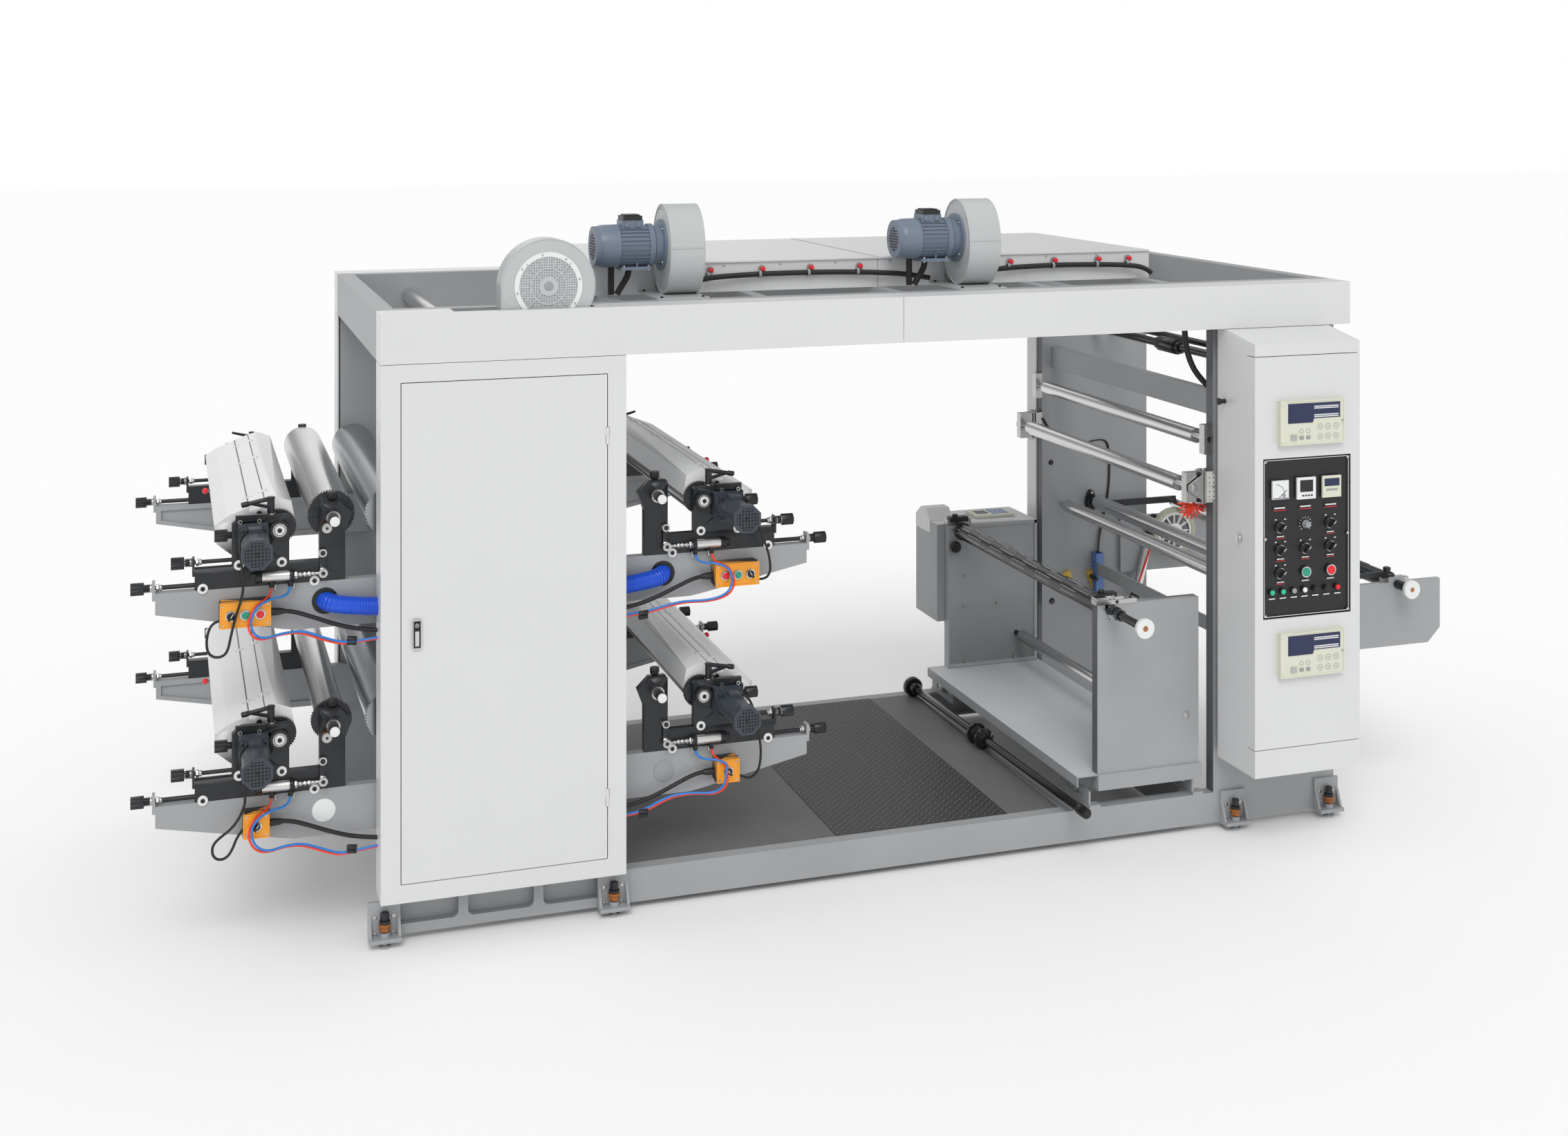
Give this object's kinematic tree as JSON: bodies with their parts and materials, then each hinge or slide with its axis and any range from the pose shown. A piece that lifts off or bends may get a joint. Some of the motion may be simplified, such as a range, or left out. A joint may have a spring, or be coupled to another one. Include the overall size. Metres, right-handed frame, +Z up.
{
  "type": "flexographic printing press",
  "caption": "Stack flexographic web press: print stand with cantilevered inking units, unwind stand, web stand with control cabinet, rewind arms and dryer hoods.",
  "frame": {"origin": "middle of the footprint's bounding box, at the floor under the levelling feet", "axes": "+X runs along the machine from the print stand to the rewind arms, +Y from the operator's side to the gear side, +Z up"},
  "size_m": [5.223, 2.095, 2.528],
  "materials": {
    "black_oxide": "satin",
    "blower_grey": "hammered",
    "ceramic_roller": "engraved",
    "chrome_roller": "polished",
    "controller_cream": "matte",
    "floor_sheet": "worn",
    "frame_grey": "satin",
    "housing_steel": "brushed",
    "motor_blue_grey": "satin",
    "orange_box": "gloss",
    "panel_black": "matte",
    "white_panel": "gloss",
    "zinc_steel": "ground"
  },
  "bodies": {
    "stand": {"back_covers": "white_panel", "base_cross_beams": "frame_grey", "base_rails": "frame_grey", "blower_casings": "blower_grey", "blower_motors": "motor_blue_grey", "control_boxes": "orange_box", "control_cabinet": "white_panel", "cross_ties": "frame_grey", "dryer_hoods": "white_panel", "fascia_panels": "white_panel", "floor_plates": "floor_sheet", "levelling_feet": "black_oxide", "print_arms": "zinc_steel", "print_side_frames": "frame_grey", "print_surround": "white_panel", "rewind_arms": "black_oxide", "slide_brackets": "black_oxide", "top_cross_beams": "frame_grey", "top_side_beams": "frame_grey", "tread_plate": "floor_sheet", "web_brackets": "zinc_steel", "web_side_frames": "frame_grey"},
    "cabinet_door": {"cabinet_door": "white_panel", "control_panel": "panel_black", "tension_controllers": "controller_cream"},
    "print_door": {"print_door": "white_panel"},
    "unwind_stand": {"unwind_stand": "white_panel"},
    "unwind_shaft": {"unwind_shaft": "chrome_roller"},
    "rewind_shaft": {"rewind_shaft": "chrome_roller"},
    "idler_roller_top": {"idler_roller_top": "chrome_roller"},
    "idler_roller_low": {"idler_roller_low": "chrome_roller"},
    "idler_roller_bay": {"idler_roller_bay": "chrome_roller"},
    "draw_roller": {"draw_roller": "chrome_roller"},
    "tension_roller": {"tension_roller": "chrome_roller"},
    "plate_carriage_left_upper": {"plate_carriage_left_upper": "black_oxide"},
    "ink_unit_left_upper": {"ink_unit_left_upper": "housing_steel"},
    "ink_lid_left_upper": {"ink_lid_left_upper": "housing_steel"},
    "anilox_roller_left_upper": {"anilox_roller_left_upper": "ceramic_roller"},
    "impression_drum_left_upper": {"impression_drum_left_upper": "chrome_roller"},
    "plate_cylinder_left_upper": {"plate_cylinder_left_upper": "zinc_steel"},
    "plate_carriage_left_lower": {"plate_carriage_left_lower": "black_oxide"},
    "ink_unit_left_lower": {"ink_unit_left_lower": "housing_steel"},
    "ink_lid_left_lower": {"ink_lid_left_lower": "housing_steel"},
    "anilox_roller_left_lower": {"anilox_roller_left_lower": "ceramic_roller"},
    "impression_drum_left_lower": {"impression_drum_left_lower": "chrome_roller"},
    "plate_cylinder_left_lower": {"plate_cylinder_left_lower": "zinc_steel"},
    "plate_carriage_right_upper": {"plate_carriage_right_upper": "black_oxide"},
    "ink_unit_right_upper": {"ink_unit_right_upper": "housing_steel"},
    "ink_lid_right_upper": {"ink_lid_right_upper": "housing_steel"},
    "anilox_roller_right_upper": {"anilox_roller_right_upper": "ceramic_roller"},
    "impression_drum_right_upper": {"impression_drum_right_upper": "chrome_roller"},
    "plate_carriage_right_lower": {"plate_carriage_right_lower": "black_oxide"},
    "ink_unit_right_lower": {"ink_unit_right_lower": "housing_steel"},
    "ink_lid_right_lower": {"ink_lid_right_lower": "housing_steel"},
    "anilox_roller_right_lower": {"anilox_roller_right_lower": "ceramic_roller"},
    "impression_drum_right_lower": {"impression_drum_right_lower": "chrome_roller"}
  },
  "joints": [
    {"name": "print_door_swing", "type": "hinge", "parent": "stand", "child": "print_door", "pos_m": [-1.03, -0.788, 1.09], "axis": [0, 0, 1], "range_deg": [0, 105]},
    {"name": "cabinet_door_swing", "type": "hinge", "parent": "stand", "child": "cabinet_door", "pos_m": [1.942, -0.945, 1.17], "axis": [0, 0, 1], "range_deg": [0, 110]},
    {"name": "unwind_stand_shift", "type": "slide", "parent": "stand", "child": "unwind_stand", "axis": [0, 1, 0], "range_m": [-0.05, 0.05]},
    {"name": "unwind_shaft_turn", "type": "hinge", "parent": "unwind_stand", "child": "unwind_shaft", "pos_m": [1.01, 0, 0.915], "axis": [0, 1, 0], "continuous": true},
    {"name": "rewind_shaft_turn", "type": "hinge", "parent": "stand", "child": "rewind_shaft", "pos_m": [2.38, 0, 0.895], "axis": [0, 1, 0], "continuous": true},
    {"name": "idler_roller_top_turn", "type": "hinge", "parent": "stand", "child": "idler_roller_top", "pos_m": [1.466, 0, 1.556], "axis": [0, 1, 0], "continuous": true},
    {"name": "idler_roller_low_turn", "type": "hinge", "parent": "stand", "child": "idler_roller_low", "pos_m": [1.58, 0, 0.985], "axis": [0, 1, 0], "continuous": true},
    {"name": "idler_roller_bay_turn", "type": "hinge", "parent": "stand", "child": "idler_roller_bay", "pos_m": [-1.528, 0, 2.088], "axis": [0, 1, 0], "continuous": true},
    {"name": "draw_roller_turn", "type": "hinge", "parent": "stand", "child": "draw_roller", "pos_m": [1.74, 0, 0.992], "axis": [0, 1, 0], "continuous": true},
    {"name": "tension_roller_turn", "type": "hinge", "parent": "stand", "child": "tension_roller", "pos_m": [1.385, 0, 1.369], "axis": [0, 1, 0], "continuous": true},
    {"name": "plate_carriage_shift_left_upper", "type": "slide", "parent": "stand", "child": "plate_carriage_left_upper", "axis": [-1, 0, 0], "range_m": [0, 0.06]},
    {"name": "ink_unit_shift_left_upper", "type": "slide", "parent": "plate_carriage_left_upper", "child": "ink_unit_left_upper", "axis": [-1, 0, 0], "range_m": [0, 0.03]},
    {"name": "ink_lid_lift_left_upper", "type": "hinge", "parent": "ink_unit_left_upper", "child": "ink_lid_left_upper", "pos_m": [-2.244, 0, 1.515], "axis": [0, 1, 0], "range_deg": [0, 100]},
    {"name": "anilox_roller_turn_left_upper", "type": "hinge", "parent": "ink_unit_left_upper", "child": "anilox_roller_left_upper", "pos_m": [-2.145, 0, 1.446], "axis": [0, 1, 0], "continuous": true},
    {"name": "impression_drum_turn_left_upper", "type": "hinge", "parent": "stand", "child": "impression_drum_left_upper", "pos_m": [-1.762, 0, 1.47], "axis": [0, 1, 0], "continuous": true},
    {"name": "plate_cylinder_turn_left_upper", "type": "hinge", "parent": "plate_carriage_left_upper", "child": "plate_cylinder_left_upper", "pos_m": [-1.967, 0, 1.478], "axis": [0, 1, 0], "continuous": true},
    {"name": "plate_carriage_shift_left_lower", "type": "slide", "parent": "stand", "child": "plate_carriage_left_lower", "axis": [-1, 0, 0], "range_m": [0, 0.06]},
    {"name": "ink_unit_shift_left_lower", "type": "slide", "parent": "plate_carriage_left_lower", "child": "ink_unit_left_lower", "axis": [-1, 0, 0], "range_m": [0, 0.03]},
    {"name": "ink_lid_lift_left_lower", "type": "hinge", "parent": "ink_unit_left_lower", "child": "ink_lid_left_lower", "pos_m": [-2.244, 0, 0.798], "axis": [0, 1, 0], "range_deg": [0, 100]},
    {"name": "anilox_roller_turn_left_lower", "type": "hinge", "parent": "ink_unit_left_lower", "child": "anilox_roller_left_lower", "pos_m": [-2.145, 0, 0.729], "axis": [0, 1, 0], "continuous": true},
    {"name": "impression_drum_turn_left_lower", "type": "hinge", "parent": "stand", "child": "impression_drum_left_lower", "pos_m": [-1.762, 0, 0.753], "axis": [0, 1, 0], "continuous": true},
    {"name": "plate_cylinder_turn_left_lower", "type": "hinge", "parent": "plate_carriage_left_lower", "child": "plate_cylinder_left_lower", "pos_m": [-1.967, 0, 0.761], "axis": [0, 1, 0], "continuous": true},
    {"name": "plate_carriage_shift_right_upper", "type": "slide", "parent": "stand", "child": "plate_carriage_right_upper", "axis": [1, 0, 0], "range_m": [0, 0.06]},
    {"name": "ink_unit_shift_right_upper", "type": "slide", "parent": "plate_carriage_right_upper", "child": "ink_unit_right_upper", "axis": [1, 0, 0], "range_m": [0, 0.03]},
    {"name": "ink_lid_lift_right_upper", "type": "hinge", "parent": "ink_unit_right_upper", "child": "ink_lid_right_upper", "pos_m": [-0.538, 0, 1.515], "axis": [0, -1, 0], "range_deg": [0, 100]},
    {"name": "anilox_roller_turn_right_upper", "type": "hinge", "parent": "ink_unit_right_upper", "child": "anilox_roller_right_upper", "pos_m": [-0.637, 0, 1.446], "axis": [0, 1, 0], "continuous": true},
    {"name": "impression_drum_turn_right_upper", "type": "hinge", "parent": "stand", "child": "impression_drum_right_upper", "pos_m": [-1.02, 0, 1.47], "axis": [0, 1, 0], "continuous": true},
    {"name": "plate_carriage_shift_right_lower", "type": "slide", "parent": "stand", "child": "plate_carriage_right_lower", "axis": [1, 0, 0], "range_m": [0, 0.06]},
    {"name": "ink_unit_shift_right_lower", "type": "slide", "parent": "plate_carriage_right_lower", "child": "ink_unit_right_lower", "axis": [1, 0, 0], "range_m": [0, 0.03]},
    {"name": "ink_lid_lift_right_lower", "type": "hinge", "parent": "ink_unit_right_lower", "child": "ink_lid_right_lower", "pos_m": [-0.538, 0, 0.798], "axis": [0, -1, 0], "range_deg": [0, 100]},
    {"name": "anilox_roller_turn_right_lower", "type": "hinge", "parent": "ink_unit_right_lower", "child": "anilox_roller_right_lower", "pos_m": [-0.637, 0, 0.729], "axis": [0, 1, 0], "continuous": true},
    {"name": "impression_drum_turn_right_lower", "type": "hinge", "parent": "stand", "child": "impression_drum_right_lower", "pos_m": [-1.02, 0, 0.753], "axis": [0, 1, 0], "continuous": true}
  ]
}
